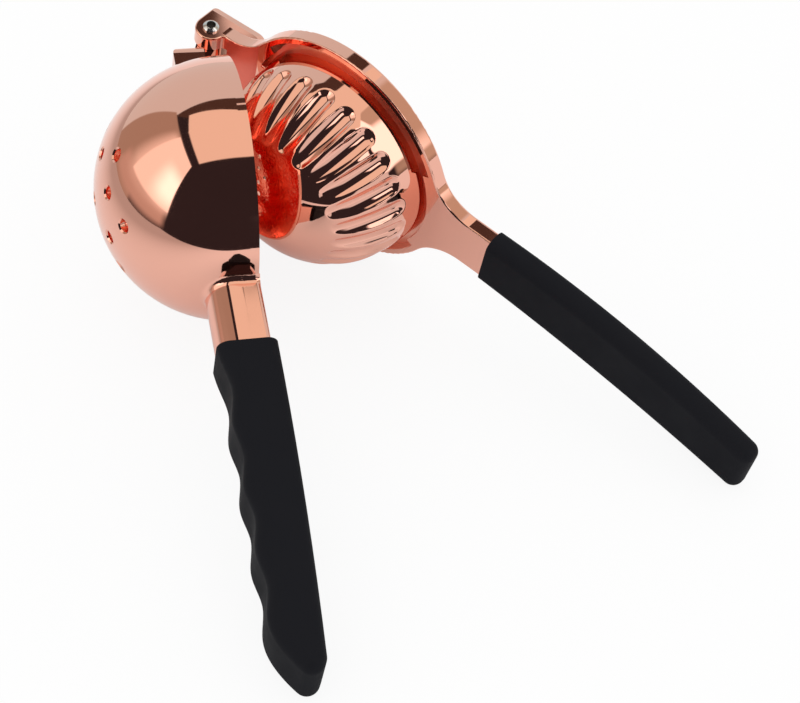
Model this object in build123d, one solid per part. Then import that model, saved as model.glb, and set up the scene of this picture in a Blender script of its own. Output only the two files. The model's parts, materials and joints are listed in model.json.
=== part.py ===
from build123d import *
import os
from math import cos, radians, sin, tan

# Hand citrus press: a strainer bowl and a fluted press dome, two castings on one hinge bolt,
# each with a handle tang in a soft grip. It lies open on a table, on its side.
# Millimetres and degrees. The hinge frame, used for modelling: origin on the hinge axis in the plane of
# the bowl's rim, X towards the handle tips, Y out of the bowl's mouth, Z along the hinge axis.

# Bowl
BOWL_RADIUS = 39.0          # outside
HINGE_STANDOFF = 14.5       # hinge axis to the bowl's outside
BOWL_WALL = 2.8
BOWL_LIP = 2.6              # straight wall between the hemisphere and the rim
RIM_ROUND = 0.6
DRAIN_DIAMETER = 3.8
DRAIN_CHAMFER = 0.5
DRAIN_RINGS = ((0.0, 1, 0.0), (21.0, 6, 0.0), (31.5, 6, 30.0))    # angle off the axis, count, first hole

# Bowl tang: a D section, flat towards the press, and a slimmer core inside the grip
TANG_WIDTH = 18.0
TANG_DEPTH = 15.0
TANG_RISE = 0.3             # its flat face above the rim plane
TANG_FLAT = 5.2             # flat part of its sides
TANG_EDGE_ROUND = 1.3
TANG_ROOT_ROUND = 2.2
CORE_WIDTH = 12.0
CORE_DEPTH = 8.0
CORE_CENTRE = 7.6           # core axis below the rim plane
CORE_ROUND = 2.0

# Hinge: tab and knuckle on the bowl, fork on the press
TAB_TOP = 3.4               # top of the tab below the rim plane
TAB_DEPTH = 9.4
TAB_OVERHANG = 8.8          # tab beyond the bowl's outside, towards the hinge
TAB_ROUND = 3.6
EYE_RADIUS = 4.8            # ears of the fork
KNUCKLE_RADIUS = 3.8
KNUCKLE_NECK = 2.6          # neck below the top of the tab
HINGE_WIDTH = 19.0          # across the fork
KNUCKLE_WIDTH = 8.4
KNUCKLE_SIDE_GAP = 0.15
LUG_HEEL_HEIGHT = 7.6       # heel of the fork, straight up from the ears
LUG_HEEL_ROUND = 1.2
LUG_HUMP_HEIGHT = 9.9
LUG_HUMP_REACH = 12.0
LUG_HUMP_ROUND = 5.0
LUG_FOOT_REACH = 25.0
LUG_BEVEL = 2.4             # bevel along the fork's back, on its sides
LUG_BEVEL_DROP = 1.1
LUG_EDGE_ROUND = 0.5
LUG_UNDERCUT_ROUND = 1.6
SLOT_REACH = 6.8            # slot for the knuckle, past the hinge axis

# Hinge bolt: sleeve nut and button-head screw
BARREL_RADIUS = 2.0
BARREL_RUNNING_GAP = 0.05
BARREL_HEAD_RADIUS = 3.2
BARREL_HEAD_HEIGHT = 1.5
BARREL_STOP = 1.4           # web left in the near ear, under the screw head
BARREL_FIT = 0.02           # barrel in the ears, screw in the barrel
BARREL_END_GAP = 0.2
SCREW_SHANK_RADIUS = 1.25
SCREW_LENGTH = 9.0
SCREW_HEAD_RADIUS = 2.45
SCREW_HEAD_HEIGHT = 1.6
SCREW_HEAD_EDGE = 0.5
SOCKET_ACROSS_FLATS = 2.5
SOCKET_DEPTH = 1.1

# Press ring and dome
RIM_GAP = 0.3               # lip plane above the bowl's rim at a fully closed angle
RING_INSET = 0.3            # ring inside the bowl's outline
RING_HEIGHT = 4.8
RING_BACK_ROUND = 0.8
LIP_WIDTH = 2.0
LIP_ROUND = 0.5
CHANNEL_DEPTH = 3.2
DOME_CLEARANCE = 3.7        # dome to the bowl's inside
DOME_FOOT = 4.0             # straight foot of the dome above the lip plane
DOME_WALL = 5.0
ROOT_GAP = 1.9              # narrow channel left at the two roots
HANDLE_ROOT_ANGLE = 28.0    # half angle of the land at the handle
HINGE_ROOT_ANGLE = 33.0     # half angle of the land at the hinge
FOOT_DRAFT = 4.0            # slope of the dome's foot
FLUTE_COUNT = 24
FLUTE_TURN = -2.6           # first flute off the handle's direction, about the dome's axis
FLUTE_RADIUS = 4.0
FLUTE_OUTER_ANGLE = 79.5    # centres of a flute's ball ends off the dome's axis
FLUTE_INNER_ANGLE = 45.0
FLUTE_OUTER_DEPTH = 1.5
FLUTE_MIDDLE_DEPTH = 1.75
FLUTE_INNER_DEPTH = 0.6

# Press tang: a flat bar on a shallow bow, and a slimmer core inside the grip
BAR_WIDTH = 17.2
BAR_BOW = 1.7               # how far the bow stands off the lip plane
BAR_BOW_RUN = 47.5          # bowl's outline to the top of the bow
BAR_BEND_ROUND = 60.0       # where the bow leaves the ring's plane
BAR_TIP_DROP = 2.2          # how far the tip comes back towards the bowl's handle
HANDLE_FLARE = 16.0
ARM_FLARE = 18.0
BAR_CORE_WIDTH = 14.0
BAR_CORE_THICK = 3.6

# Grips
GRIP_FIT = 0.05
LOWER_NECK = 19.5           # bare tang between the bowl's outside and its grip
LOWER_GRIP_LENGTH = 102.6
LOWER_GRIP_WIDTH = 20.0
LOWER_GRIP_INNER = 2.3      # inner edge above the rim plane, at the start
LOWER_GRIP_FALL = 3.1       # how far the inner edge falls by the tip
LOWER_GRIP_MOUTH = 15.1     # outer edge below the rim plane, at the start
LOWER_GRIP_OUTER = 14.4     # and on the crests of the finger waves
LOWER_GRIP_ROUND = 3.6
LOWER_TIP_ROUND = 3.6
LOWER_TIP_LENGTH = 16.0     # the boat-shaped end
LOWER_TIP_CENTRE = 4.0      # its point below the rim plane
LOWER_TIP_RISE = 3.8
LOWER_SHOULDER = 6.4
WAVE_COUNT = 4
WAVE_LEAD = 5.0             # grip start to the first crest
WAVE_TAIL = 19.6            # last crest to the grip's tip
WAVE_DEPTH = 1.5
UPPER_NECK = 18.0           # bare bar between the bowl's outline and its grip
UPPER_GRIP_LENGTH = 98.5
UPPER_GRIP_WIDTH = 21.0
UPPER_GRIP_WAIST = 19.8     # width at the start
UPPER_GRIP_TIP_WIDTH = 18.4
UPPER_GRIP_THICK = 7.8
UPPER_GRIP_TIP_THICK = 7.6
UPPER_GRIP_ROUND = 3.4
CORE_END_WALL = 12.0        # grip past the end of each core

# Pose: opening angle as it lies on the table
REST_OPENING = 38.0

# Sizes that follow from the ones above
HINGE_REACH = BOWL_RADIUS + HINGE_STANDOFF
BOWL_INSIDE = BOWL_RADIUS - BOWL_WALL
BOWL_CENTRE = Pos(HINGE_REACH, -BOWL_LIP, 0)
RING_RADIUS = BOWL_RADIUS - RING_INSET
CHANNEL_RADIUS = RING_RADIUS - LIP_WIDTH
DOME_RADIUS = BOWL_INSIDE - DOME_CLEARANCE
DOME_INSIDE = DOME_RADIUS - DOME_WALL
ROOT_RADIUS = DOME_RADIUS + ROOT_GAP
BOW_START = HINGE_REACH + BOWL_RADIUS
RING_BACK = RIM_GAP + RING_HEIGHT
SLOT_WIDTH = KNUCKLE_WIDTH + 2 * KNUCKLE_SIDE_GAP
TAB_END = HINGE_STANDOFF - TAB_OVERHANG
LOWER_GRIP_START = HINGE_REACH + BOWL_RADIUS + LOWER_NECK
LOWER_GRIP_END = LOWER_GRIP_START + LOWER_GRIP_LENGTH
WAVE_PITCH = (LOWER_GRIP_LENGTH - WAVE_LEAD - WAVE_TAIL) / WAVE_COUNT
UPPER_GRIP_START = HINGE_REACH + BOWL_RADIUS + UPPER_NECK
UPPER_GRIP_END = UPPER_GRIP_START + UPPER_GRIP_LENGTH
OVERLAP = 1.0               # how far joined features run into each other
BURIED = 0.8                # share of the bowl's inside radius where its tab and tang start
SAME = 0.01                 # lengths closer than this are the same
TILT_NUDGE = 0.5            # degrees tried while the pieces are levelled on the table
TILT_ROUNDS = 6
FAR = 200.0                 # larger than any piece, for cutting blocks
TO_TABLE = Rot(0, 0, -90)   # handles towards -Y, bowl's mouth towards +X


def turned(points_and_arcs):
    """Revolve a closed half profile (radius, height) about the Y axis."""
    return revolve(make_face(points_and_arcs), Axis.Y)


def cup(radius, wall_top):
    """Solid hemisphere below the XZ plane, with a straight wall above it."""
    arc = RadiusArc((0, -radius), (radius, 0), -radius)
    walls = Polyline((radius, 0), (radius, wall_top), (0, wall_top), (0, -radius))
    return turned(arc + walls)


def along_x(section, start, end):
    """Extrude a section drawn in the YZ plane from one X to another."""
    return Pos(start, 0, 0) * extrude(Plane.YZ * section, end - start)


def drain_cutters():
    """One chamfered drill for each drain hole, square to the bowl's wall."""
    radius = DRAIN_DIAMETER / 2
    drill = Pos(0, 0, BOWL_INSIDE) * Cylinder(radius, 2 * BOWL_WALL + OVERLAP)
    sink_height = radius + DRAIN_CHAMFER
    sink_at = BOWL_RADIUS - DRAIN_CHAMFER + sink_height / 2
    sink = Pos(0, 0, sink_at) * Cone(radius, radius + sink_height, sink_height)
    tool = drill + sink
    cutters = []
    for off_axis, count, first in DRAIN_RINGS:
        for index in range(count):
            around = first + index * 360 / count
            cutters.append(BOWL_CENTRE * Rot(0, -around, 0) * Rot(0, 0, off_axis) * Rot(90, 0, 0) * tool)
    return cutters


def tang_section():
    """D section of the bowl's tang, in the YZ plane: sketch X is Y, sketch Y is Z."""
    half = TANG_WIDTH / 2
    top = TANG_RISE
    shoulder = top - TANG_FLAT
    low = top - TANG_DEPTH
    nose = ThreePointArc((shoulder, half), (low, 0), (shoulder, -half))
    sides = Polyline((shoulder, -half), (top, -half), (top, half), (shoulder, half))
    face = make_face(nose + sides)
    corners = face.vertices().group_by(Axis.X)[-1]
    return fillet(corners, TANG_EDGE_ROUND)


def lower_core(grow):
    """Core of the bowl's tang inside its grip, grown all round for the grip's socket."""
    section = Pos(-CORE_CENTRE, 0) * RectangleRounded(
        CORE_DEPTH + 2 * grow, CORE_WIDTH + 2 * grow, CORE_ROUND + grow)
    return along_x(section, LOWER_GRIP_START - OVERLAP, LOWER_GRIP_END - CORE_END_WALL + grow)


def hinge_tab():
    """Tab on the bowl's outside and the knuckle that stands up from it between the fork's ears."""
    inner_end = HINGE_REACH - BOWL_INSIDE * BURIED
    tab = Box(inner_end - TAB_END, TAB_DEPTH, HINGE_WIDTH, align=(Align.MIN, Align.MAX, Align.CENTER))
    tab = Pos(TAB_END, -TAB_TOP, 0) * tab
    outer_edges = tab.edges().filter_by(Axis.Y).group_by(Axis.X)[0]
    low_edges = tab.edges().group_by(Axis.Y)[0].filter_by(Axis.Z).group_by(Axis.X)[0]
    tab = fillet(outer_edges + low_edges, TAB_ROUND)
    eye = Cylinder(KNUCKLE_RADIUS, KNUCKLE_WIDTH)
    root = TAB_END + TAB_ROUND
    neck_profile = make_face(Polyline(
        (0, KNUCKLE_RADIUS), (root, -TAB_TOP + OVERLAP), (root, -TAB_TOP - KNUCKLE_NECK),
        (TAB_END, -TAB_TOP - KNUCKLE_NECK), (0, -KNUCKLE_RADIUS), (0, KNUCKLE_RADIUS)))
    neck = extrude(neck_profile, KNUCKLE_WIDTH / 2, both=True)
    return tab + eye + neck


def bowl_arm():
    """Strainer bowl, hinge tab with knuckle and handle tang: one casting."""
    tall_wall = BOWL_CENTRE * cup(BOWL_RADIUS, BOWL_LIP + TANG_RISE + TANG_ROOT_ROUND + OVERLAP)
    tang = along_x(tang_section(), HINGE_REACH + BOWL_INSIDE * BURIED, LOWER_GRIP_START)
    body = tall_wall + tang
    body = fillet(new_edges(tall_wall, tang, combined=body), TANG_ROOT_ROUND)
    body -= Pos(HINGE_REACH, 0, 0) * Rot(-90, 0, 0) * along_z(BOWL_RADIUS, FAR)
    body -= Pos(HINGE_REACH, TANG_RISE, 0) * Box(FAR, FAR, FAR, align=(Align.CENTER, Align.MIN, Align.CENTER))
    body += hinge_tab()
    body += lower_core(0)
    body -= BOWL_CENTRE * cup(BOWL_INSIDE, BOWL_LIP + OVERLAP)
    rim = body.edges().filter_by(GeomType.CIRCLE).filter_by(lambda e: abs(e.radius - BOWL_INSIDE) < SAME)
    body = fillet(rim.group_by(Axis.Y)[-1], RIM_ROUND)
    body -= Cylinder(BARREL_RADIUS + BARREL_RUNNING_GAP, HINGE_WIDTH)
    return body - drain_cutters()


def dome_flute():
    """Cutter for one flute: a round bar with ball ends, bent along the dome in the XY plane."""
    middle_angle = (FLUTE_OUTER_ANGLE + FLUTE_INNER_ANGLE) / 2
    stations = (
        (FLUTE_OUTER_ANGLE, FLUTE_OUTER_DEPTH), (middle_angle, FLUTE_MIDDLE_DEPTH),
        (FLUTE_INNER_ANGLE, FLUTE_INNER_DEPTH))
    points = []
    for angle, depth in stations:
        outwards = Vector(sin(radians(angle)), -cos(radians(angle)), 0)
        points.append(outwards * (DOME_RADIUS + FLUTE_RADIUS - depth))
    bend = ThreePointArc(*points)
    bar = sweep(Plane(origin=bend @ 0, z_dir=bend % 0) * Circle(FLUTE_RADIUS), bend)
    ball = Sphere(FLUTE_RADIUS)
    return bar + Pos(bend @ 0) * ball + Pos(bend @ 1) * ball


def press_dome():
    """Fluted dome of the press, in the hinge frame at a fully closed angle, solid inside."""
    centre = Pos(HINGE_REACH, RIM_GAP - DOME_FOOT, 0)
    top = DOME_FOOT + CHANNEL_DEPTH + OVERLAP / 2
    slope = radians(FOOT_DRAFT)
    foot_start = (DOME_RADIUS * cos(slope), -DOME_RADIUS * sin(slope))
    foot_end = foot_start[0] + (top - foot_start[1]) * tan(slope)
    ball = RadiusArc((0, -DOME_RADIUS), foot_start, -DOME_RADIUS)
    foot = Polyline(foot_start, (foot_end, top), (0, top), (0, -DOME_RADIUS))
    dome = turned(ball + foot)
    flute = dome_flute()
    flutes = [Rot(0, FLUTE_TURN + index * 360 / FLUTE_COUNT, 0) * flute for index in range(FLUTE_COUNT)]
    return centre * (dome - flutes)


def root_land(half_angle, facing):
    """Land that narrows the channel at a root: a sector of the ring about the +X or -X direction."""
    reach = CHANNEL_RADIUS + OVERLAP / 2
    spread = FAR * tan(radians(half_angle))
    wedge = make_face(Polyline((0, 0), (FAR, spread), (FAR, -spread), (0, 0)))
    sector = (Circle(reach) - Circle(ROOT_RADIUS)) & wedge
    return Rot(0, 0, facing) * sector


def ring_plate():
    """Plate of the press seen along its axis: ring, hinge arm and handle bar with flared roots."""
    ring = Circle(RING_RADIUS)
    handle_end = UPPER_GRIP_START - HINGE_REACH
    handle = Pos(handle_end / 2, 0) * Rectangle(handle_end, BAR_WIDTH)
    arm = Pos(-HINGE_REACH / 2, 0) * Rectangle(HINGE_REACH, HINGE_WIDTH)
    plate = ring + handle + arm
    waists = plate.vertices().filter_by(lambda v: abs((v.X ** 2 + v.Y ** 2) ** 0.5 - RING_RADIUS) < SAME)
    handle_waists = waists.filter_by(lambda v: v.X > 0 and abs(abs(v.Y) - BAR_WIDTH / 2) < SAME)
    plate = fillet(handle_waists, HANDLE_FLARE)
    waists = plate.vertices().filter_by(lambda v: abs((v.X ** 2 + v.Y ** 2) ** 0.5 - RING_RADIUS) < SAME)
    arm_waists = waists.filter_by(lambda v: v.X < 0 and abs(abs(v.Y) - HINGE_WIDTH / 2) < SAME)
    return fillet(arm_waists, ARM_FLARE)


def bow_point(reach):
    """Height of the press bar's centre line above the rim plane at a distance from the hinge."""
    base = RIM_GAP + RING_HEIGHT / 2
    end = UPPER_GRIP_END - BOW_START
    bend = (-BAR_TIP_DROP / end - BAR_BOW / BAR_BOW_RUN) / (end - BAR_BOW_RUN)
    rise = BAR_BOW / BAR_BOW_RUN - bend * BAR_BOW_RUN
    step = reach - BOW_START
    return base + rise * step + bend * step ** 2


def bowed_side(start, end, start_thick, end_thick):
    """Side view of a bar on the bow, in the XY plane, between two arcs."""
    mid = (start + end) / 2
    mid_thick = max(start_thick, end_thick)
    upper = ThreePointArc(
        (start, bow_point(start) + start_thick / 2), (mid, bow_point(mid) + mid_thick / 2),
        (end, bow_point(end) + end_thick / 2))
    lower = ThreePointArc(
        (end, bow_point(end) - end_thick / 2), (mid, bow_point(mid) - mid_thick / 2),
        (start, bow_point(start) - start_thick / 2))
    ends = Line(upper @ 1, lower @ 0) + Line(lower @ 1, upper @ 0)
    return make_face(upper + lower + ends)


def upper_core(grow):
    """Core of the press's bar inside its grip, grown all round for the grip's socket."""
    start = UPPER_GRIP_START - OVERLAP
    end = UPPER_GRIP_END - CORE_END_WALL + grow
    thick = BAR_CORE_THICK + 2 * grow
    return extrude(bowed_side(start, end, thick, thick), BAR_CORE_WIDTH / 2 + grow, both=True)


def hinge_fork():
    """Eye, heel and hump of the press's hinge arm, before the slot for the knuckle is cut."""
    top = Polyline(
        (-EYE_RADIUS, 0), (-EYE_RADIUS, LUG_HEEL_HEIGHT), (LUG_HUMP_REACH, LUG_HUMP_HEIGHT),
        (LUG_FOOT_REACH, RING_BACK), (LUG_FOOT_REACH, RIM_GAP), (0, RIM_GAP), (0, 0), (-EYE_RADIUS, 0))
    profile = make_face(top) + Circle(EYE_RADIUS)
    under = profile.vertices().filter_by(lambda v: 0 < v.X < EYE_RADIUS and abs(v.Y - RIM_GAP) < SAME)
    profile = fillet(under, LUG_UNDERCUT_ROUND)
    hump = profile.vertices().filter_by(lambda v: v.Y > LUG_HUMP_HEIGHT - SAME)
    profile = fillet(hump, LUG_HUMP_ROUND)
    fork = extrude(profile, HINGE_WIDTH / 2, both=True)
    for end in (0, -1):
        side = fork.faces().sort_by(Axis.Z)[end]
        back = side.edges().filter_by(GeomType.LINE).filter_by(lambda e: 0 < e.center().X < LUG_HUMP_REACH)
        fork = chamfer(back.sort_by(Axis.Y)[-1], LUG_BEVEL, LUG_BEVEL_DROP, reference=side)
    heel = fork.edges().filter_by(Axis.Z).group_by(Axis.X)[0].sort_by(Axis.Y)[-1]
    fork = fillet(heel, LUG_HEEL_ROUND)
    for end in (0, -1):
        side = fork.faces().sort_by(Axis.Z)[end]
        under_edges = side.edges().filter_by(lambda e: e.center().Y < RIM_GAP + SAME)
        fork = fillet(under_edges, LUG_EDGE_ROUND)
    return fork


def press_plate():
    """Ring, hinge arm and handle bar as one plate, bowed along the handle, with its edges rounded."""
    to_ring = Pos(HINGE_REACH, RING_BACK + OVERLAP, 0) * Rot(90, 0, 0)
    plan = to_ring * extrude(ring_plate(), RING_HEIGHT + BAR_BOW + 2 * OVERLAP)
    plan = Pos(0, BAR_BOW, 0) * plan
    end = UPPER_GRIP_START
    mid = (BOW_START + end) / 2
    half = RING_HEIGHT / 2
    under = ThreePointArc((BOW_START, RIM_GAP), (mid, bow_point(mid) - half), (end, bow_point(end) - half))
    over = ThreePointArc((end, bow_point(end) + half), (mid, bow_point(mid) + half), (BOW_START, RING_BACK))
    flats = Polyline((BOW_START, RING_BACK), (0, RING_BACK), (0, RIM_GAP), (BOW_START, RIM_GAP))
    side = make_face(under + Line(under @ 1, over @ 0) + over + flats)
    side = fillet(side.vertices().filter_by(lambda v: abs(v.X - BOW_START) < SAME), BAR_BEND_ROUND)
    plate = plan & extrude(side, RING_RADIUS + OVERLAP, both=True)
    rim_edges = plate.edges().filter_by(Axis.Z, reverse=True).filter_by(Axis.Y, reverse=True)
    back_edges = rim_edges.filter_by(lambda e: e.center().Y > RING_BACK - SAME)
    plate = fillet(back_edges, RING_BACK_ROUND)
    rim_edges = plate.edges().filter_by(Axis.Z, reverse=True).filter_by(Axis.Y, reverse=True)
    lip_edges = rim_edges.filter_by(lambda e: e.center().Y < RIM_GAP + RING_HEIGHT / 2)
    return fillet(lip_edges, LIP_ROUND)


def press_closed():
    """Press casting at a fully closed angle: dome, ring, fork and handle bar in one."""
    body = press_plate()
    channel = Circle(CHANNEL_RADIUS) - root_land(HANDLE_ROOT_ANGLE, 0) - root_land(HINGE_ROOT_ANGLE, 180)
    body -= Pos(HINGE_REACH, RIM_GAP + CHANNEL_DEPTH, 0) * Rot(90, 0, 0) * extrude(channel, FAR)
    body += hinge_fork()
    body += press_dome()
    body += upper_core(0)
    dome_centre = Pos(HINGE_REACH, RIM_GAP - DOME_FOOT, 0)
    body -= dome_centre * cup(DOME_INSIDE, DOME_FOOT + RING_HEIGHT + OVERLAP)
    slot = Box(FAR, FAR, SLOT_WIDTH, align=(Align.MAX, Align.CENTER, Align.CENTER))
    body -= Pos(SLOT_REACH, 0, 0) * slot
    body -= Pos(0, 0, -HINGE_WIDTH / 2) * along_z(BARREL_RADIUS + BARREL_FIT, HINGE_WIDTH - BARREL_STOP)
    body -= along_z(SCREW_SHANK_RADIUS + BARREL_FIT, HINGE_WIDTH)
    return body


def along_z(radius, length):
    """Round bar that rises from the XY plane."""
    return Cylinder(radius, length, align=(Align.CENTER, Align.CENTER, Align.MIN))


def button_head(radius, height, edge):
    """Low domed head that rises from the XY plane, with a short straight edge."""
    dome_radius = (radius ** 2 + (height - edge) ** 2) / (2 * (height - edge))
    ball = Pos(0, 0, height - dome_radius) * Sphere(dome_radius)
    return along_z(radius, height) & ball


def hinge_barrel():
    """Sleeve nut: domed head under the far ear, shank through fork and knuckle, bored for the screw."""
    length = HINGE_WIDTH - BARREL_STOP - BARREL_END_GAP
    barrel = Pos(0, 0, -HINGE_WIDTH / 2) * along_z(BARREL_RADIUS, length)
    head = button_head(BARREL_HEAD_RADIUS, BARREL_HEAD_HEIGHT, SCREW_HEAD_EDGE)
    barrel += Pos(0, 0, -HINGE_WIDTH / 2) * Rot(180, 0, 0) * head
    bore_floor = HINGE_WIDTH / 2 - SCREW_LENGTH - BARREL_END_GAP
    return barrel - Pos(0, 0, bore_floor) * along_z(SCREW_SHANK_RADIUS + BARREL_FIT, FAR)


def hinge_screw():
    """Button-head screw with a hex socket, on the near ear."""
    top = HINGE_WIDTH / 2
    screw = Pos(0, 0, top - SCREW_LENGTH) * along_z(SCREW_SHANK_RADIUS, SCREW_LENGTH)
    screw += Pos(0, 0, top) * button_head(SCREW_HEAD_RADIUS, SCREW_HEAD_HEIGHT, SCREW_HEAD_EDGE)
    socket = RegularPolygon(SOCKET_ACROSS_FLATS / 2, 6, major_radius=False)
    return screw - Pos(0, 0, top + SCREW_HEAD_HEIGHT - SOCKET_DEPTH) * extrude(socket, FAR)


def upper_grip():
    """Plain sleeve on the press's bar: bowed in side view, a little barrel-shaped from above."""
    side = bowed_side(UPPER_GRIP_START, UPPER_GRIP_END, UPPER_GRIP_THICK, UPPER_GRIP_TIP_THICK)
    mid = (UPPER_GRIP_START + UPPER_GRIP_END) / 2
    one_edge = ThreePointArc(
        (UPPER_GRIP_START, UPPER_GRIP_WAIST / 2), (mid, UPPER_GRIP_WIDTH / 2),
        (UPPER_GRIP_END, UPPER_GRIP_TIP_WIDTH / 2))
    other_edge = mirror(one_edge, Plane.XZ)
    ends = Line(one_edge @ 0, other_edge @ 0) + Line(one_edge @ 1, other_edge @ 1)
    plan = Rot(90, 0, 0) * make_face(one_edge + other_edge + ends)
    grip = extrude(side, UPPER_GRIP_WIDTH, both=True) & extrude(plan, FAR, both=True)
    mouth_edges = grip.edges().group_by(Axis.X)[0]
    grip = fillet(grip.edges() - mouth_edges, UPPER_GRIP_ROUND)
    return grip - upper_core(GRIP_FIT)


def lower_outline():
    """Side view of the bowl's grip: finger waves on the outer edge and a boat-shaped end."""
    waves = [(LOWER_GRIP_START, -LOWER_GRIP_MOUTH)]
    for index in range(WAVE_COUNT):
        crest = LOWER_GRIP_START + WAVE_LEAD + index * WAVE_PITCH
        waves.append((crest, -LOWER_GRIP_OUTER))
        waves.append((crest + WAVE_PITCH / 2, -LOWER_GRIP_OUTER + WAVE_DEPTH))
    last_crest = LOWER_GRIP_START + WAVE_LEAD + WAVE_COUNT * WAVE_PITCH
    waves.append((last_crest, -LOWER_GRIP_OUTER))
    tip = (LOWER_GRIP_END, -LOWER_TIP_CENTRE)
    waves.append((LOWER_GRIP_END - LOWER_TIP_LENGTH / 2, -LOWER_GRIP_OUTER + LOWER_TIP_RISE))
    waves.append(tip)
    outer = Spline(waves)
    shoulder = (LOWER_GRIP_END - LOWER_SHOULDER, LOWER_GRIP_INNER - LOWER_GRIP_FALL)
    inner = TangentArc((LOWER_GRIP_START, LOWER_GRIP_INNER), shoulder, tangent=(1, 0))
    closing = Line(outer @ 1, inner @ 1) + Line(inner @ 0, outer @ 0)
    face = make_face(outer + inner + closing)
    return fillet(face.vertices().filter_by(lambda v: v.X > last_crest), LOWER_TIP_ROUND)


def lower_grip():
    """Sleeve with finger waves on the bowl's tang."""
    grip = extrude(lower_outline(), LOWER_GRIP_WIDTH / 2, both=True)
    mouth_edges = grip.edges().group_by(Axis.X)[0]
    side_edges = grip.edges().filter_by(lambda e: abs(abs(e.center().Z) - LOWER_GRIP_WIDTH / 2) < SAME)
    grip = fillet(side_edges - mouth_edges, LOWER_GRIP_ROUND)
    return grip - lower_core(GRIP_FIT)


def table_tilt(feelers):
    """Pitch and roll that lay three feelers on one level: bowl, press and the bowl's grip."""
    def steps(pitch, roll):
        low = [(Rot(pitch, roll, 0) * TO_TABLE * piece).bounding_box().min.Z for piece in feelers]
        return low[1] - low[0], low[2] - low[0]
    pitch = 0.0
    roll = 0.0
    for _ in range(TILT_ROUNDS):
        ring, tip = steps(pitch, roll)
        ring_pitch, tip_pitch = [
            (b - a) / TILT_NUDGE for a, b in zip((ring, tip), steps(pitch + TILT_NUDGE, roll))]
        ring_roll, tip_roll = [
            (b - a) / TILT_NUDGE for a, b in zip((ring, tip), steps(pitch, roll + TILT_NUDGE))]
        spread = ring_pitch * tip_roll - ring_roll * tip_pitch
        pitch -= (ring * tip_roll - ring_roll * tip) / spread
        roll -= (ring_pitch * tip - ring * tip_pitch) / spread
    return pitch, roll


def main():
    """Build each piece, open the press, lay everything on the table and write one file a piece."""
    opened = Rot(0, 0, REST_OPENING)
    pieces = {
        "bowl_arm": bowl_arm(),
        "lower_grip": lower_grip(),
        "press_arm": opened * press_closed(),
        "upper_grip": opened * upper_grip(),
        "hinge_barrel": opened * hinge_barrel(),
        "hinge_screw": opened * hinge_screw(),
    }
    ring = opened * Pos(HINGE_REACH, RIM_GAP + RING_HEIGHT / 2, 0) * Rot(90, 0, 0) * Cylinder(
        RING_RADIUS, RING_HEIGHT)
    press_feeler = Compound([ring, pieces["upper_grip"]])
    feelers = (BOWL_CENTRE * cup(BOWL_RADIUS, BOWL_LIP), press_feeler, pieces["lower_grip"])
    pitch, roll = table_tilt(feelers)
    laid = Rot(pitch, roll, 0) * TO_TABLE
    box = Compound([laid * piece for piece in pieces.values()]).bounding_box()
    place = Pos(-box.center().X, -box.center().Y, -box.min.Z) * laid
    os.makedirs("parts", exist_ok=True)
    for name, piece in pieces.items():
        export_step(place * piece, f"parts/{name}.step")
        print(name, piece.is_valid, round(piece.volume), len(piece.solids()))
    print("tilt", round(pitch, 3), round(roll, 3), "size", box.size)
    print("hinge at", place.position, "axis", (place * Pos(0, 0, 1)).position - place.position)
    print("bowl centre", (place * BOWL_CENTRE).position)


main()
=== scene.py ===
# %% [markdown]
# # A hand citrus press, dressed around its CAD frame
# The press lies open on a white table: a perforated bowl and a fluted dome, two polished castings
# with a rose plate, hinged on one bolt, each with a black rubber grip on its tang.
# The CAD model already has every piece at its real size, so this lesson adds what CAD can't say:
# the finish of each surface, the studio around it and the camera.

# %% Load the frame
import bpy
import json
from math import cos, hypot, pi, radians, sin
from mathutils import Matrix, Vector


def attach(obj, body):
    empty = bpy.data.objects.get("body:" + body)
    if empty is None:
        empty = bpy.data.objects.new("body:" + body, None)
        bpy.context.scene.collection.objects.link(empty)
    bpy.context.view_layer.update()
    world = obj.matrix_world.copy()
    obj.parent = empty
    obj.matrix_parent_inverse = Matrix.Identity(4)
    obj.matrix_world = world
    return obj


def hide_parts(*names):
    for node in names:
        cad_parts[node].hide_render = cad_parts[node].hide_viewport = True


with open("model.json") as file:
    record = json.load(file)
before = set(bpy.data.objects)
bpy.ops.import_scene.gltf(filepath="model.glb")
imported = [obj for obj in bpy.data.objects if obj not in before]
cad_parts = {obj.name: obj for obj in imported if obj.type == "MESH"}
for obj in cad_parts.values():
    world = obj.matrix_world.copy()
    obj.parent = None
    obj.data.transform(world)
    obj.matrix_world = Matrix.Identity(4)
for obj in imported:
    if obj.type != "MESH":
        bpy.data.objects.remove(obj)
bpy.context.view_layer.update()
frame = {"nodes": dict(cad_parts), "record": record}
scene = bpy.context.scene
MOUNTS = {mount["name"]: mount for mount in frame["record"]["mounts"]}


def mount_point(name):
    """Place of a named mount, in metres."""
    return Vector(MOUNTS[name]["pos_m"])


def mount_axis(name):
    """Direction of a named mount."""
    return Vector(MOUNTS[name]["axis"]).normalized()


MOUTH = mount_axis("bowl_mouth")
BOWL_LIP = 0.0026                   # straight wall between the bowl's round and its rim
BOWL_CENTRE = mount_point("bowl_mouth") - MOUTH * BOWL_LIP
BAR_ALONG = mount_axis("upper_handle")
HINGE = frame["record"]["behaviour"]["joints"][0]
HINGE_POINT = Vector(HINGE["pos_m"])
HINGE_AXIS = Vector(HINGE["axis"]).normalized()
PRESS_AXIS = HINGE_AXIS.cross(BAR_ALONG).normalized()
HINGE_TO_DOME = 0.0535
DOME_BEHIND_HINGE = -0.0037         # dome's centre from the hinge axis, along the press axis
DOME_CENTRE = HINGE_POINT + BAR_ALONG * HINGE_TO_DOME + PRESS_AXIS * DOME_BEHIND_HINGE

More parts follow.
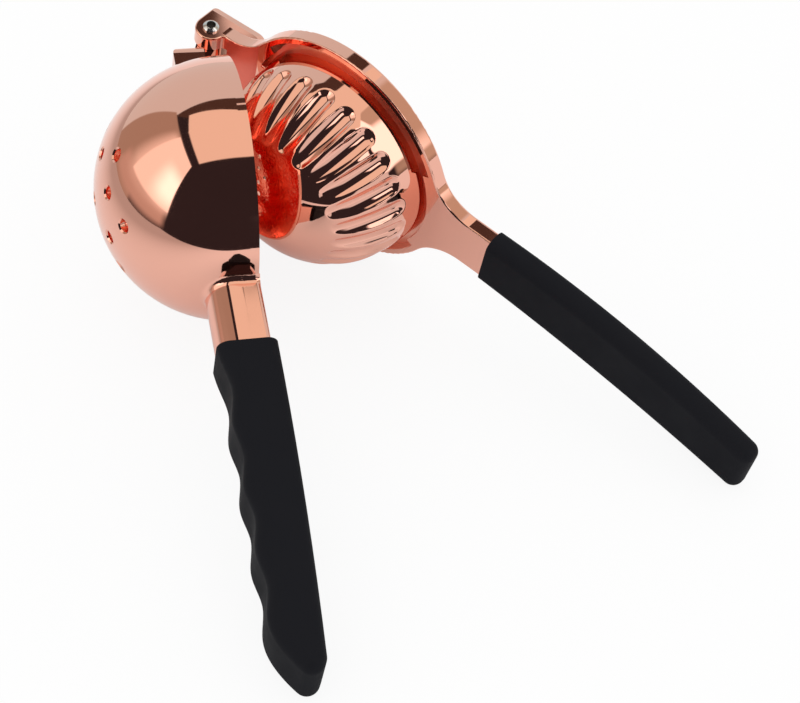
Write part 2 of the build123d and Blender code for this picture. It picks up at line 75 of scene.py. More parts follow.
# %% [markdown]
# ## The camera
# A long lens looks down at the table from a little left of the handles. Its place is counted from the
# bowl's centre, because a ball is the one shape whose outline gives away exactly where the eye was.

# %% Camera
EYE_FROM_BOWL = Vector((-0.0559, -0.4606, 0.4409))
LOOK = Vector((0.15645, 0.65278, -0.74122))
IMAGE_UP = Vector((0.12984, 0.73036, 0.67061))
SENSOR_WIDTH = 36.0
LENS = 97.21


def make_camera():
    """Camera at the photograph's place, with the image upright as it was held."""
    data = bpy.data.cameras.new("camera")
    data.sensor_width = SENSOR_WIDTH
    data.lens = LENS
    camera = bpy.data.objects.new("camera", data)
    scene.collection.objects.link(camera)
    right = LOOK.cross(IMAGE_UP)
    turned = Matrix((right, IMAGE_UP, -LOOK)).transposed().to_4x4()
    turned.translation = BOWL_CENTRE + EYE_FROM_BOWL
    camera.matrix_world = turned
    return camera


scene.camera = make_camera()
scene.view_settings.view_transform = "Standard"
print("camera at", scene.camera.location[:])

# %% [markdown]
# ## Small helpers for node trees
# Nodes are made by short calls, so that each material below reads as a recipe: a node, its settings,
# and what is plugged into it. Sums on sockets get the names they have in plain words.

# %% Node helpers
MIX_FACTOR, MIX_FIRST, MIX_SECOND, MIX_COLOUR = 0, 6, 7, 2    # colour sockets of a Mix node


def set_inputs(tree, node, inputs):
    """Sets plain values and links sockets, by input name or number."""
    for key, value in inputs.items():
        if isinstance(value, bpy.types.NodeSocket):
            tree.links.new(value, node.inputs[key])
        else:
            node.inputs[key].default_value = value


def add_node(tree, kind, settings=None, inputs=None):
    """New node with its settings and inputs."""
    node = tree.nodes.new(kind)
    for key, value in (settings or {}).items():
        setattr(node, key, value)
    set_inputs(tree, node, inputs or {})
    return node


def calc(tree, operation, first, second=0.0):
    """Math node on two sockets or numbers, giving its result."""
    return add_node(tree, "ShaderNodeMath", {"operation": operation}, {0: first, 1: second}).outputs[0]


def plus(tree, first, second):
    """Sum."""
    return calc(tree, "ADD", first, second)


def minus(tree, first, second):
    """Difference."""
    return calc(tree, "SUBTRACT", first, second)


def times(tree, first, second):
    """Product."""
    return calc(tree, "MULTIPLY", first, second)


def over(tree, first, second):
    """Quotient."""
    return calc(tree, "DIVIDE", first, second)


def squared(tree, value):
    """Second power."""
    return calc(tree, "POWER", value, 2.0)


def dot(tree, first, second):
    """Dot product of two vectors."""
    inputs = {0: first, 1: second}
    return add_node(tree, "ShaderNodeVectorMath", {"operation": "DOT_PRODUCT"}, inputs).outputs["Value"]


def smooth_step(tree, value, low, high):
    """Soft step from 0 at low to 1 at high."""
    inputs = {"Value": value, "From Min": low, "From Max": high}
    return add_node(tree, "ShaderNodeMapRange", {"interpolation_type": "SMOOTHSTEP"}, inputs).outputs[0]


def mix_colour(tree, factor, first, second):
    """Blend of two colours."""
    inputs = {MIX_FACTOR: factor, MIX_FIRST: first, MIX_SECOND: second}
    return add_node(tree, "ShaderNodeMix", {"data_type": "RGBA"}, inputs).outputs[MIX_COLOUR]


def object_place(tree):
    """Shaded place in the object's own coordinates, which are the frame's."""
    return add_node(tree, "ShaderNodeTexCoord").outputs["Object"]


def new_group(name, inputs, outputs):
    """Shader node group with named sockets; gives the tree, its inputs' sockets and its output node."""
    group = bpy.data.node_groups.new(name, "ShaderNodeTree")
    for socket, kind in inputs:
        group.interface.new_socket(socket, in_out="INPUT", socket_type="NodeSocket" + kind)
    for socket, kind in outputs:
        group.interface.new_socket(socket, in_out="OUTPUT", socket_type="NodeSocket" + kind)
    source = group.nodes.new("NodeGroupInput")
    sink = group.nodes.new("NodeGroupOutput")
    return group, source.outputs, sink


def use_group(tree, group, inputs):
    """Group node in a tree, giving its outputs."""
    return add_node(tree, "ShaderNodeGroup", {"node_tree": group}, inputs).outputs


print("helpers ready")

# %% [markdown]
# ## The studio
# Polished metal has hardly a colour of its own: it shows the room. On the bowl one can read that room
# like a map: a pale panel overhead, a soft box at the left, a plain wall beside it, a white sheet behind
# the table and the dark of the room behind the camera. Each of them is a card, a rectangle seen in one
# direction, so one node group that draws a card is placed once for each. Only mirror rays see the cards.
# Diffuse rays see an even white sky, which lights matte surfaces softly from all round.

# %% Card group
NEAREST = 0.001                     # keeps the card's division away from zero


def make_card_group():
    """Mask of a rectangle that stands one metre away in a direction, with soft edges."""
    inputs = [("Direction", "Vector"), ("Toward", "Vector"), ("Across", "Vector"), ("Up", "Vector"),
              ("Across Low", "Float"), ("Across High", "Float"), ("Up Low", "Float"), ("Up High", "Float"),
              ("Edge", "Float")]
    tree, source, sink = new_group("studio_card", inputs, [("Mask", "Float")])
    near = dot(tree, source["Direction"], source["Toward"])
    safe = calc(tree, "MAXIMUM", near, NEAREST)
    mask = calc(tree, "GREATER_THAN", near, 0.0)
    for axis in ("Across", "Up"):
        place = over(tree, dot(tree, source["Direction"], source[axis]), safe)
        low = source[axis + " Low"]
        high = source[axis + " High"]
        rising = smooth_step(tree, place, low, plus(tree, low, source["Edge"]))
        falling = smooth_step(tree, place, minus(tree, high, source["Edge"]), high)
        mask = times(tree, mask, minus(tree, rising, falling))
    tree.links.new(mask, sink.inputs["Mask"])
    return tree


card_group = make_card_group()
print("card group with", len(card_group.nodes), "nodes")

# %% World
SKY = (1.0, 1.0, 1.0, 1.0)
DARK_ROOM = (0.032, 0.026, 0.030, 1.0)
PANEL_CREAM = (0.98, 0.90, 0.76, 1.0)
MIRROR_BOUNCES = 10
X, Y, Z = (1.0, 0.0, 0.0), (0.0, 1.0, 0.0), (0.0, 0.0, 1.0)
LEFT = (-1.0, 0.0, 0.0)
FRONT = (0.0, -1.0, 0.0)
SPOT_LEAN = radians(10.7)
ASLANT = (cos(SPOT_LEAN), 0.0, -sin(SPOT_LEAN))
UPRIGHT = (sin(SPOT_LEAN), 0.0, cos(SPOT_LEAN))
PANEL_TURN = radians(10.6)
TURNED_X = (cos(PANEL_TURN), -sin(PANEL_TURN), 0.0)
TURNED_Y = (sin(PANEL_TURN), cos(PANEL_TURN), 0.0)
# Each card: direction, across, up, its four edges a metre away, softness of its edge, colour.
# A later card hides the earlier ones.
CARDS = (
    # dark gap over the sheet, and a white spot in it
    (Y, X, Z, -0.95, 0.95, 1.30, 4.50, 0.04, (0.08, 0.05, 0.04, 1.0)),
    (Y, ASLANT, UPRIGHT, 0.082, 0.135, 1.75, 1.91, 0.02, (0.88, 0.86, 0.82, 1.0)),
    # white sheet right of that gap, and behind the table
    (Y, X, Z, 0.86, 3.00, 1.00, 4.50, 0.06, (0.84, 0.84, 0.82, 1.0)),
    (Y, X, Z, -0.90, 3.00, -0.40, 1.40, 0.05, (0.74, 0.81, 0.81, 1.0)),
    # wall at the left, and its foot
    (LEFT, Y, Z, 0.10, 1.30, -0.20, 1.58, 0.08, (0.44, 0.36, 0.29, 1.0)),
    (LEFT, Y, Z, -0.62, 0.70, -0.14, 0.30, 0.16, (0.62, 0.48, 0.41, 1.0)),
    # soft box at the left: its glow on the wall, the box, its hot middle, the dark room beside it
    (LEFT, Y, Z, -0.95, 0.62, 0.02, 1.62, 0.36, (1.00, 0.90, 0.80, 1.0)),
    (LEFT, Y, Z, -0.90, 0.34, 0.18, 1.55, 0.05, (1.25, 1.16, 1.05, 1.0)),
    (LEFT, Y, Z, -1.05, 0.02, 0.10, 1.10, 0.40, (2.20, 2.08, 1.96, 1.0)),
    (LEFT, Y, Z, -9.00, -0.58, -0.14, 9.00, 0.03, DARK_ROOM),
    # right side: sheet round the corner, wall, soft box
    (X, Y, Z, -0.10, 1.60, -0.40, 2.20, 0.10, (0.80, 0.82, 0.80, 1.0)),
    (X, Y, Z, -0.62, 0.34, -0.15, 2.20, 0.16, (0.62, 0.54, 0.43, 1.0)),
    (X, Y, Z, -1.00, -0.31, 0.10, 2.40, 0.08, (1.90, 1.84, 1.78, 1.0)),
    # front right: white foot of the room, and a window
    (FRONT, X, Z, 0.20, 1.30, -0.50, 0.34, 0.08, (0.82, 0.85, 0.86, 1.0)),
    (FRONT, X, Z, 0.43, 0.90, 0.62, 1.24, 0.06, (1.70, 1.66, 1.62, 1.0)),
    # panel overhead, and its far end, which is turned a little
    (Z, X, Y, -0.51, 0.56, -0.40, 0.24, 0.03, PANEL_CREAM),
    (Z, TURNED_X, TURNED_Y, -0.53, 0.50, 0.10, 0.460, 0.015, PANEL_CREAM),
)


def make_world():
    """Even white sky for diffuse rays and the camera, and the cards for mirror rays."""
    world = bpy.data.worlds.new("studio")
    world.use_nodes = True
    tree = world.node_tree
    tree.nodes.clear()
    direction = add_node(tree, "ShaderNodeTexCoord").outputs["Generated"]
    room = DARK_ROOM
    for toward, across, up, across_low, across_high, up_low, up_high, edge, colour in CARDS:
        mask = use_group(tree, card_group, {
            "Direction": direction, "Toward": toward, "Across": across, "Up": up,
            "Across Low": across_low, "Across High": across_high, "Up Low": up_low, "Up High": up_high,
            "Edge": edge})["Mask"]
        room = mix_colour(tree, mask, room, colour)
    rays = add_node(tree, "ShaderNodeLightPath").outputs
    seen = mix_colour(tree, rays["Is Glossy Ray"], SKY, room)
    background = add_node(tree, "ShaderNodeBackground", inputs={"Color": seen, "Strength": 1.0})
    add_node(tree, "ShaderNodeOutputWorld", inputs={"Surface": background.outputs[0]})
    return world


scene.world = make_world()
scene.cycles.glossy_bounces = MIRROR_BOUNCES
print("studio with", len(CARDS), "cards")

# %% [markdown]
# ## The table
# A matte white sheet. To the camera most of it is plain white, as in a catalogue, but it still takes the
# shadow of the press. To mirror rays it is mostly a lit surface, so the metal shows the shade under it,
# and towards its far left mirrors see a painted shade.

# %% Table
TABLE_LEFT, TABLE_RIGHT = -0.60, 0.90
TABLE_FRONT, TABLE_BACK = -0.25, 1.60
WHITE = (1.0, 1.0, 1.0, 1.0)
TABLE_WHITE = (0.95, 0.95, 0.95, 1.0)
TABLE_PAINTED_SHADE = (0.42, 0.40, 0.38, 1.0)    # painted shade at the far left of the table, as the bowl mirrors it
SHADE_NEAR, SHADE_FAR = -0.09, -0.32
TABLE_GLOW = 0.89                   # share of plain white that the camera sees
MIRROR_GLOW = 0.20                  # share of plain white that mirrors see


def make_table_material():
    """White that keeps a faint shadow for the camera, and its shading for mirrors, with painted shade at
    the far left.
    """
    material = bpy.data.materials.new("table_white")
    material.use_nodes = True
    tree = material.node_tree
    tree.nodes.clear()
    rays = add_node(tree, "ShaderNodeLightPath").outputs
    # painted shade: to mirror rays the table's colour darkens towards its far left
    far_left = smooth_step(tree, dot(tree, object_place(tree), X), SHADE_NEAR, SHADE_FAR)
    shade = times(tree, rays["Is Glossy Ray"], far_left)
    colour = mix_colour(tree, shade, TABLE_WHITE, TABLE_PAINTED_SHADE)
    matte = add_node(tree, "ShaderNodeBsdfDiffuse", inputs={"Color": colour})
    glow = add_node(tree, "ShaderNodeEmission", inputs={"Color": WHITE, "Strength": 1.0})
    to_camera = times(tree, rays["Is Camera Ray"], TABLE_GLOW)
    to_mirrors = times(tree, rays["Is Glossy Ray"], MIRROR_GLOW)
    share = plus(tree, to_camera, to_mirrors)
    mixed = add_node(tree, "ShaderNodeMixShader", inputs={
        0: share, 1: matte.outputs[0], 2: glow.outputs[0]})
    add_node(tree, "ShaderNodeOutputMaterial", inputs={"Surface": mixed.outputs[0]})
    return material


def make_table():
    """Flat table top, part of the stage."""
    mesh = bpy.data.meshes.new("table")
    corners = [(TABLE_LEFT, TABLE_FRONT, 0), (TABLE_RIGHT, TABLE_FRONT, 0),
               (TABLE_RIGHT, TABLE_BACK, 0), (TABLE_LEFT, TABLE_BACK, 0)]
    mesh.from_pydata(corners, [], [(0, 1, 2, 3)])
    mesh.materials.append(make_table_material())
    table = bpy.data.objects.new("table", mesh)
    scene.collection.objects.link(table)
    return table


table = make_table()
print("table", table.dimensions[:])

# %% [markdown]
# ## Shared surface effects
# Two effects come up in more than one finish. A casting that was polished by hand keeps a long, very
# shallow ripple, which bends reflections a little. And every handled surface has fine grain.

# %% Effect groups
RIPPLE_DETAIL, RIPPLE_FADE = 1.0, 0.4
GRAIN_DETAIL = 2.0
CLOUD_DETAIL = 3.0
CLOUD_LOW, CLOUD_HIGH = 0.3, 0.7    # most of the clouds' values lie between these


def add_noise(tree, size, settings):
    """Noise with features of a size in metres."""
    inputs = {"Vector": object_place(tree), "Scale": over(tree, 1.0, size), **settings}
    return add_node(tree, "ShaderNodeTexNoise", inputs=inputs).outputs["Fac"]


def make_ripple_group():
    """Height of a shallow, uneven ripple, for a Bump node."""
    tree, source, sink = new_group("hand_polish", [("Size", "Float")], [("Height", "Float")])
    ripple = add_noise(tree, source["Size"], {"Detail": RIPPLE_DETAIL, "Roughness": RIPPLE_FADE})
    tree.links.new(ripple, sink.inputs["Height"])
    return tree


def make_grain_group():
    """Fine grain as a height, and slow cloudy change as a mask."""
    inputs = [("Grain Size", "Float"), ("Cloud Size", "Float")]
    tree, source, sink = new_group("surface_grain", inputs, [("Height", "Float"), ("Clouds", "Float")])
    fine = add_noise(tree, source["Grain Size"], {"Detail": GRAIN_DETAIL})
    slow = add_noise(tree, source["Cloud Size"], {"Detail": CLOUD_DETAIL})
    set_inputs(tree, sink, {"Height": fine, "Clouds": slow})
    return tree


def cloudy(tree, clouds, low, high):
    """Value that drifts between low and high with the clouds."""
    inputs = {"Value": clouds, "From Min": CLOUD_LOW, "From Max": CLOUD_HIGH, "To Min": low, "To Max": high}
    return add_node(tree, "ShaderNodeMapRange", inputs=inputs).outputs[0]


ripple_group = make_ripple_group()
grain_group = make_grain_group()
print("effects", ripple_group.name, grain_group.name)

# %% [markdown]
# ## Rose plate
# The castings are polished aluminium under a thin copper-and-gold plate. Copper soaks up blue and green,
# so light that bounces between two plated walls turns from pink to deep red by itself: all that is needed
# is a high number of mirror bounces. Nobody polishes the inside of the bowl, the channel round the dome or
# the root under the hinge, so there the plate lies on bare casting skin. In the bowl it is redder and
# dimpled, and in the channel and at the root it is duller. At the root its deep red colour is also a
# painted reflection of the bowl beside it. Masks drawn from sizes of the casting tell where that skin
# starts.

# %% Skin masks
BOWL_INSIDE = 0.0362
CHANNEL_RADIUS = 0.0367
DOME_HOLLOW = 0.0290
LIP_HEIGHT = 0.0040                 # lip plane, from the ball's centre along the press axis
ROOT_FROM_DOME = -0.0345            # hinge root, from the dome's axis along the bar
EARS_FROM_DOME = -0.0460            # inner edge of the fork's ears, along the bar
FORK_HALF_WIDTH = 0.0095
SOFT = 0.0004                       # width of a mask's edge


def from_point(tree, point):
    """Vector from a point of the frame to the shaded place."""
    inputs = {0: object_place(tree), 1: point}
    return add_node(tree, "ShaderNodeVectorMath", {"operation": "SUBTRACT"}, inputs).outputs[0]


def off_axis(tree, away, axis):
    """Distance from an axis, for a vector that starts on it."""
    along = dot(tree, away, axis)
    return calc(tree, "SQRT", minus(tree, dot(tree, away, away), times(tree, along, along)))


def bowl_inside_mask(tree):
    """1 on the bowl's inside, 0 on its polished outside."""
    inputs = {0: object_place(tree), 1: BOWL_CENTRE}
    reach = add_node(tree, "ShaderNodeVectorMath", {"operation": "DISTANCE"}, inputs).outputs["Value"]
    return smooth_step(tree, reach, BOWL_INSIDE + 2 * SOFT, BOWL_INSIDE + SOFT)


def press_recess_mask(tree):
    """1 in the channel and in the dome's hollow."""
    away = from_point(tree, DOME_CENTRE)
    below_lip = smooth_step(tree, dot(tree, away, PRESS_AXIS), LIP_HEIGHT + SOFT, LIP_HEIGHT + 2 * SOFT)
    inside_ring = smooth_step(tree, off_axis(tree, away, PRESS_AXIS), CHANNEL_RADIUS + SOFT, CHANNEL_RADIUS)
    reach = calc(tree, "SQRT", dot(tree, away, away))
    hollow = smooth_step(tree, reach, DOME_HOLLOW + SOFT, DOME_HOLLOW)
    return calc(tree, "MAXIMUM", times(tree, below_lip, inside_ring), hollow)


def hinge_root_mask(tree):
    """1 on the flat face under the hinge arm, between the fork's sides."""
    away = from_point(tree, DOME_CENTRE)
    from_lip = minus(tree, dot(tree, away, PRESS_AXIS), LIP_HEIGHT)
    near_lip = smooth_step(tree, calc(tree, "ABSOLUTE", from_lip), SOFT / 2, SOFT / 4)
    along = dot(tree, away, BAR_ALONG)
    past_ring = smooth_step(tree, along, ROOT_FROM_DOME, ROOT_FROM_DOME - SOFT)
    aside = calc(tree, "ABSOLUTE", dot(tree, away, HINGE_AXIS))
    inside_fork = smooth_step(tree, aside, FORK_HALF_WIDTH - SOFT / 4, FORK_HALF_WIDTH - SOFT)
    off_ears = smooth_step(tree, along, EARS_FROM_DOME, EARS_FROM_DOME + SOFT)
    on_root = calc(tree, "MAXIMUM", inside_fork, off_ears)
    return times(tree, times(tree, near_lip, past_ring), on_root)


print("skin masks for the bowl and the press")

# %% Rose plate
ROSE = (0.88, 0.46, 0.355, 1.0)
BOWL_ROSE = (0.96, 0.38, 0.28, 1.0)
CHANNEL_ROSE = (0.98, 0.53, 0.41, 1.0)
# painted red reflection of the bowl on the hinge root
ROOT_PAINTED_REFLECTION = (0.74, 0.15, 0.10, 1.0)
PLATE_ROUGHNESS = (0.025, 0.055)
RIPPLE_SIZE = 0.012
RIPPLE_DEPTH = 0.00008
RIPPLE_STRENGTH = 0.25
PLATE_SIZES = {"Grain Size": 0.0026, "Cloud Size": 0.015}
DIMPLE_STRENGTH = 0.5
# Each skin: its mask, colour, dullness and depth of its dimples
BOWL_SKINS = ((bowl_inside_mask, BOWL_ROSE, 0.0, 0.0004),)
PRESS_SKINS_AND_PAINTED_RED = (
    (press_recess_mask, CHANNEL_ROSE, 0.30, 0.00004),
    # hinge root: duller skin, whose deep red colour is a painted reflection of the bowl
    (hinge_root_mask, ROOT_PAINTED_REFLECTION, 0.22, 0.00004),
)


def new_material(name):
    """Material with a Principled shader; gives the material, its tree and the shader."""
    material = bpy.data.materials.new(name)
    material.use_nodes = True
    return material, material.node_tree, material.node_tree.nodes["Principled BSDF"]


def make_rose_plate(name, skins):
    """Mirror-polished plate with a hand-polish ripple, and where a mask is 1 a duller patch with its own
    colour: casting skin, and at the hinge root a painted red reflection.
    """
    material, tree, shader = new_material(name)
    ripple = use_group(tree, ripple_group, {"Size": RIPPLE_SIZE})
    normal = add_node(tree, "ShaderNodeBump", inputs={
        "Strength": RIPPLE_STRENGTH, "Distance": RIPPLE_DEPTH, "Height": ripple["Height"]}).outputs[0]
    grain = use_group(tree, grain_group, PLATE_SIZES)
    roughness = cloudy(tree, grain["Clouds"], *PLATE_ROUGHNESS)
    colour = ROSE
    for mask, patch_colour, dullness, dimple_depth in skins:
        skin = mask(tree)
        # the patch colour is the skin's own colour, and at the hinge root a painted red reflection
        colour = mix_colour(tree, skin, colour, patch_colour)
        roughness = plus(tree, roughness, times(tree, skin, dullness))
        dimples = times(tree, skin, grain["Height"])
        normal = add_node(tree, "ShaderNodeBump", inputs={
            "Strength": DIMPLE_STRENGTH, "Distance": dimple_depth, "Height": dimples,
            "Normal": normal}).outputs[0]
    set_inputs(tree, shader, {
        "Metallic": 1.0, "Base Color": colour, "Roughness": roughness, "Normal": normal})
    return material


bowl_plate = make_rose_plate("rose_plate_bowl", BOWL_SKINS)
press_plate = make_rose_plate("rose_plate_press", PRESS_SKINS_AND_PAINTED_RED)
print("made", bowl_plate.name, press_plate.name)

# %% [markdown]
# ## Grip rubber and bolt steel
# The grips are soft matte rubber, a black that never goes darker than charcoal. The bolt is bright steel,
# and the deep socket in its head gets a painted shade.

# %% Rubber and steel
RUBBER = (0.0112, 0.0114, 0.0142, 1.0)
RUBBER_SHINE = 0.04
RUBBER_ROUGHNESS = (0.55, 0.68)
RUBBER_SIZES = {"Grain Size": 0.0003, "Cloud Size": 0.01}
RUBBER_DEPTH = 0.0001
RUBBER_STRENGTH = 0.15
STEEL = (0.62, 0.61, 0.60, 1.0)
STEEL_ROUGHNESS = (0.12, 0.25)
STEEL_SIZES = {"Grain Size": 0.0002, "Cloud Size": 0.002}
SOCKET_PAINTED_SHADE = (0.09, 0.085, 0.08, 1.0)    # painted shade inside the hex socket
SOCKET_RADIUS = 0.00148


def make_grip_rubber():
    """Matte black rubber with a fine moulded grain."""
    material, tree, shader = new_material("grip_rubber")
    grain = use_group(tree, grain_group, RUBBER_SIZES)
    bump = add_node(tree, "ShaderNodeBump", inputs={
        "Strength": RUBBER_STRENGTH, "Distance": RUBBER_DEPTH, "Height": grain["Height"]})
    set_inputs(tree, shader, {
        "Base Color": RUBBER, "Specular IOR Level": RUBBER_SHINE, "Normal": bump.outputs[0],
        "Roughness": cloudy(tree, grain["Clouds"], *RUBBER_ROUGHNESS)})
    return material


def make_bolt_steel():
    """Bright steel with a cloudy shine, with painted shade in the screw's socket."""
    material, tree, shader = new_material("bolt_steel")
    from_middle = off_axis(tree, from_point(tree, HINGE_POINT), HINGE_AXIS)
    # painted shade: the steel's colour is darkened inside the socket's recess
    socket = smooth_step(tree, from_middle, SOCKET_RADIUS, SOCKET_RADIUS - SOFT / 4)
    grain = use_group(tree, grain_group, STEEL_SIZES)
    set_inputs(tree, shader, {
        "Metallic": 1.0, "Base Color": mix_colour(tree, socket, STEEL, SOCKET_PAINTED_SHADE),
        "Roughness": cloudy(tree, grain["Clouds"], *STEEL_ROUGHNESS)})
    return material


grip_rubber = make_grip_rubber()
bolt_steel = make_bolt_steel()
FINISHES = {
    "bowl_arm": bowl_plate, "press_arm": press_plate, "lower_grip": grip_rubber, "upper_grip": grip_rubber,
    "hinge_barrel": bolt_steel, "hinge_screw": bolt_steel,
}
print("finishes for", len(FINISHES), "pieces")

# %% Finish on the CAD pieces
for subpart in frame["record"]["subparts"]:
    piece = frame["nodes"][subpart["node"]]
    piece.data.materials.clear()
    piece.data.materials.append(FINISHES[subpart["node"]])
    print(piece.name, len(piece.data.polygons), "faces in", subpart["material_slot"])

# %% [markdown]
# ## The fluted dome
# Twenty-four flutes run up the dome. They could be cut one by one with booleans, but a boolean leaves
# knife edges, and on a real casting every ridge is softly rounded and catches a thin line of light.
# The dome follows a rule, so Geometry Nodes draws it: a flat grid is rolled up into a dome with a sloping
# foot, and each point sinks by the depth of a bent round bar pressed into the ball. A smooth minimum of
# ball and bar gives the rounded ridge. The tree works in the dome's own frame: the press axis is Y.

# %% Dome sizes
DOME_RADIUS = 0.0325
DOME_WALL = 0.0050
FOOT_SLOPE = radians(4.0)
FOOT_HEIGHT = 0.0072                # ball's equator to the channel's floor
FOOT_BURIED = 0.0003                # foot below the channel's floor
FOOT_LENGTH = (FOOT_HEIGHT + FOOT_BURIED + DOME_RADIUS * sin(FOOT_SLOPE)) / cos(FOOT_SLOPE)
FLUTE_COUNT = 24
FLUTE_RADIUS = 0.0040
FLUTE_TURN = radians(-2.6)          # first flute off the bar's direction
FLUTE_ANGLES = (radians(79.5), radians(62.25), radians(45.0))    # outer end, middle, inner end
FLUTE_DEPTHS = (0.00150, 0.00175, 0.00060)
RIDGE_SOFTNESS = 0.0005
POINTS_PER_FLUTE = 24
DOME_ROWS = 150


def circle_through(first, second, third):
    """Centre and radius of the circle through three points of a plane."""
    ax, ay = second[0] - first[0], second[1] - first[1]
    bx, by = third[0] - first[0], third[1] - first[1]
    twice_area = 2 * (ax * by - ay * bx)
    a_square, b_square = ax * ax + ay * ay, bx * bx + by * by
    centre_x = (by * a_square - ay * b_square) / twice_area
    centre_y = (ax * b_square - bx * a_square) / twice_area
    return first[0] + centre_x, first[1] + centre_y, hypot(centre_x, centre_y)


def flute_bend():
    """Circle that the middle of the bent bar follows, in a plane through the dome's axis."""
    points = []
    for angle, depth in zip(FLUTE_ANGLES, FLUTE_DEPTHS):
        far = DOME_RADIUS + FLUTE_RADIUS - depth
        points.append((far * sin(angle), -far * cos(angle)))
    return circle_through(*points)


BEND_X, BEND_Y, BEND_RADIUS = flute_bend()
print("flute bar bends at", round(BEND_RADIUS * 1000, 1), "mm")

# %% Dome tree
MERGE_DISTANCE = 1e-6
DOME_INPUTS = (
    ("Radius", "Float", DOME_RADIUS),
    ("Foot Slope", "Float", FOOT_SLOPE), ("Foot Length", "Float", FOOT_LENGTH),
    ("Flute Count", "Float", float(FLUTE_COUNT)), ("Flute Turn", "Float", FLUTE_TURN),
    ("Flute Radius", "Float", FLUTE_RADIUS),
    ("Outer Angle", "Float", FLUTE_ANGLES[0]), ("Inner Angle", "Float", FLUTE_ANGLES[2]),
    ("Bend X", "Float", BEND_X), ("Bend Y", "Float", BEND_Y), ("Bend Radius", "Float", BEND_RADIUS),
    ("Ridge Softness", "Float", RIDGE_SOFTNESS),
    ("Columns", "Int", FLUTE_COUNT * POINTS_PER_FLUTE + 1), ("Rows", "Int", DOME_ROWS + 1),
    ("Finish", "Material", press_plate),
)


def bar_distance(tree, given, sine, cosine):
    """How far the middle of the bent bar is from the ball's centre, at an angle off the dome's axis."""
    lean = minus(tree, times(tree, given["Bend X"], sine), times(tree, given["Bend Y"], cosine))
    centre_square = plus(tree, squared(tree, given["Bend X"]), squared(tree, given["Bend Y"]))
    past_centre = minus(tree, squared(tree, given["Bend Radius"]), centre_square)
    return plus(tree, lean, calc(tree, "SQRT", plus(tree, squared(tree, lean), past_centre)))


def flute_depth(tree, given, polar, around):
    """How deep the dome sinks at an angle off its axis and an angle round it."""
    from_first = minus(tree, around, given["Flute Turn"])
    turn = over(tree, times(tree, from_first, given["Flute Count"]), 2 * pi)
    share = minus(tree, calc(tree, "FRACT", plus(tree, turn, 0.5)), 0.5)
    aside = over(tree, times(tree, share, 2 * pi), given["Flute Count"])
    sine, cosine = calc(tree, "SINE", polar), calc(tree, "COSINE", polar)
    bar_far = bar_distance(tree, given, sine, cosine)
    across = times(tree, times(tree, bar_far, sine), calc(tree, "SINE", aside))
    past_outer = calc(tree, "MAXIMUM", minus(tree, polar, given["Outer Angle"]), 0.0)
    past_inner = calc(tree, "MAXIMUM", minus(tree, given["Inner Angle"], polar), 0.0)
    beyond = times(tree, bar_far, plus(tree, past_outer, past_inner))
    off_middle = plus(tree, times(tree, across, across), times(tree, beyond, beyond))
    room = minus(tree, squared(tree, given["Flute Radius"]), off_middle)
    bar_skin = minus(tree, bar_far, calc(tree, "SQRT", calc(tree, "MAXIMUM", room, 0.0)))
    smooth = add_node(tree, "ShaderNodeMath", {"operation": "SMOOTH_MIN"}, {
        0: given["Radius"], 1: bar_skin, 2: given["Ridge Softness"]}).outputs[0]
    return minus(tree, given["Radius"], smooth)


def dome_places(tree, given):
    """Position of each grid point on the fluted dome."""
    position = add_node(tree, "GeometryNodeInputPosition").outputs[0]
    place = add_node(tree, "ShaderNodeSeparateXYZ", inputs={0: position}).outputs
    around = times(tree, plus(tree, place["X"], 0.5), 2 * pi)
    ball_end = minus(tree, pi / 2, given["Foot Slope"])
    ball_run = times(tree, given["Radius"], ball_end)
    run = times(tree, plus(tree, place["Y"], 0.5), plus(tree, ball_run, given["Foot Length"]))
    polar = calc(tree, "MINIMUM", over(tree, run, given["Radius"]), ball_end)
    down_foot = calc(tree, "MAXIMUM", minus(tree, run, ball_run), 0.0)
    foot_out = times(tree, down_foot, calc(tree, "SINE", given["Foot Slope"]))
    foot_down = times(tree, down_foot, calc(tree, "COSINE", given["Foot Slope"]))
    left = minus(tree, given["Radius"], flute_depth(tree, given, polar, around))
    outward = plus(tree, times(tree, left, calc(tree, "SINE", polar)), foot_out)
    height = minus(tree, foot_down, times(tree, left, calc(tree, "COSINE", polar)))
    along = times(tree, outward, calc(tree, "COSINE", around))
    side = times(tree, times(tree, outward, calc(tree, "SINE", around)), -1.0)
    return add_node(tree, "ShaderNodeCombineXYZ", inputs={"X": along, "Y": height, "Z": side}).outputs[0]


def make_dome_tree():
    """Geometry Nodes tree of the fluted dome."""
    tree = bpy.data.node_groups.new("fluted_dome", "GeometryNodeTree")
    for name, kind, value in DOME_INPUTS:
        tree.interface.new_socket(name, in_out="INPUT", socket_type="NodeSocket" + kind)
    tree.interface.new_socket("Geometry", in_out="OUTPUT", socket_type="NodeSocketGeometry")
    given = tree.nodes.new("NodeGroupInput").outputs
    grid = add_node(tree, "GeometryNodeMeshGrid", inputs={
        "Size X": 1.0, "Size Y": 1.0, "Vertices X": given["Columns"], "Vertices Y": given["Rows"]})
    rolled = add_node(tree, "GeometryNodeSetPosition", inputs={
        "Geometry": grid.outputs["Mesh"], "Position": dome_places(tree, given)})
    closed = add_node(tree, "GeometryNodeMergeByDistance", inputs={
        "Geometry": rolled.outputs[0], "Distance": MERGE_DISTANCE})
    smooth = add_node(tree, "GeometryNodeSetShadeSmooth", inputs={"Geometry": closed.outputs[0]})
    real = add_node(tree, "GeometryNodeRealizeInstances", inputs={"Geometry": smooth.outputs[0]})
    dressed = add_node(tree, "GeometryNodeSetMaterial", inputs={
        "Geometry": real.outputs[0], "Material": given["Finish"]})
    add_node(tree, "NodeGroupOutput", inputs={"Geometry": dressed.outputs[0]})
    return tree


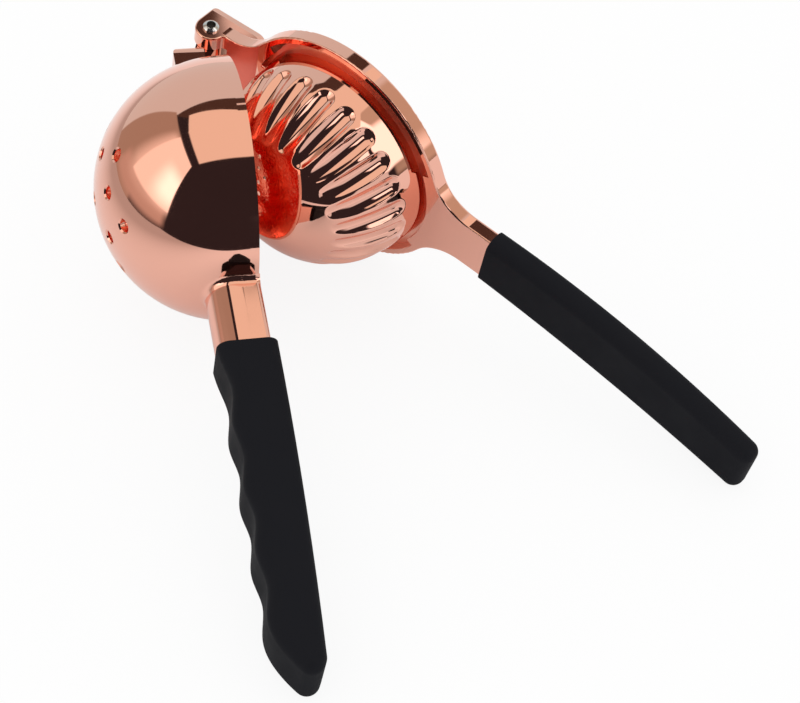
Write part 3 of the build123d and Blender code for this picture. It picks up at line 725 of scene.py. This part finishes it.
dome_tree = make_dome_tree()
print("dome tree with", len(dome_tree.nodes), "nodes")

# %% [markdown]
# ## The press casting
# The dome needs the rest of its casting: ring, channel, hinge fork and bar. Those are already exact in
# the CAD node, so a copy of it gives up its own dome, and the new dome's foot runs down into the channel.
# A CAD mesh is loose triangles, so the copy is merged too, and keeps the normals of the CAD faces.
# Both pieces stand for the same CAD node and ride on the same body.

# %% Press casting
DOME_FRAME = Matrix((BAR_ALONG, PRESS_AXIS, HINGE_AXIS)).transposed().to_4x4()
DOME_FRAME.translation = DOME_CENTRE
FOOT_MARGIN = 0.0011                # foot's radius past the ball's, with some room
SKIN_SHARE = 0.6                    # share of the dome's wall that counts as its outside
NEAR = 1e-5
MERGE_DIGITS = 6                    # points closer than a micrometre are one


def make_dome():
    """The dome as a plain mesh at its place in the frame."""
    source = bpy.data.objects.new("dome_source", bpy.data.meshes.new("dome_source"))
    scene.collection.objects.link(source)
    modifier = source.modifiers.new("fluted_dome", "NODES")
    modifier.node_group = dome_tree
    items = dome_tree.interface.items_tree
    sockets = {item.name: item.identifier for item in items if item.in_out == "INPUT"}
    for name, kind, value in DOME_INPUTS:
        modifier[sockets[name]] = value
    evaluated = source.evaluated_get(bpy.context.evaluated_depsgraph_get())
    mesh = bpy.data.meshes.new_from_object(evaluated)
    mesh.name = "press_dome"
    mesh.transform(DOME_FRAME)
    source.modifiers.remove(modifier)
    bpy.data.objects.remove(source)
    dome = bpy.data.objects.new("press_dome", mesh)
    scene.collection.objects.link(dome)
    return dome


def on_dome(place):
    """True for a point on the dome's outside, given in the dome's frame."""
    outward = hypot(place.x, place.z)
    if place.y > FOOT_HEIGHT + NEAR or outward > DOME_RADIUS + FOOT_MARGIN:
        return False
    return hypot(outward, min(place.y, 0.0)) > DOME_RADIUS - DOME_WALL * SKIN_SHARE


def make_press_casting():
    """Copy of the press casting without its dome, merged, with the exact normals of its CAD faces."""
    source = frame["nodes"]["press_arm"].data
    to_dome = DOME_FRAME.inverted()
    dome_points = [on_dome(to_dome @ point.co) for point in source.vertices]
    numbers = {}
    faces, normals = [], []
    for face in source.polygons:
        if all(dome_points[corner] for corner in face.vertices):
            continue
        places = [source.vertices[corner].co.to_tuple(MERGE_DIGITS) for corner in face.vertices]
        if len(set(places)) == len(places):
            faces.append([numbers.setdefault(place, len(numbers)) for place in places])
            normals.extend(source.corner_normals[loop].vector for loop in face.loop_indices)
    mesh = bpy.data.meshes.new("press_casting")
    mesh.from_pydata(list(numbers), [], faces)
    mesh.shade_smooth()
    mesh.normals_split_custom_set(normals)
    mesh.materials.append(press_plate)
    casting = bpy.data.objects.new("press_casting", mesh)
    scene.collection.objects.link(casting)
    print("casting kept", len(faces), "of", len(source.polygons), "faces on", len(numbers), "points")
    return casting


for piece in (make_dome(), make_press_casting()):
    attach(piece, "press")
    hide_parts("press_arm")
    print(piece.name, len(piece.data.polygons), "faces")
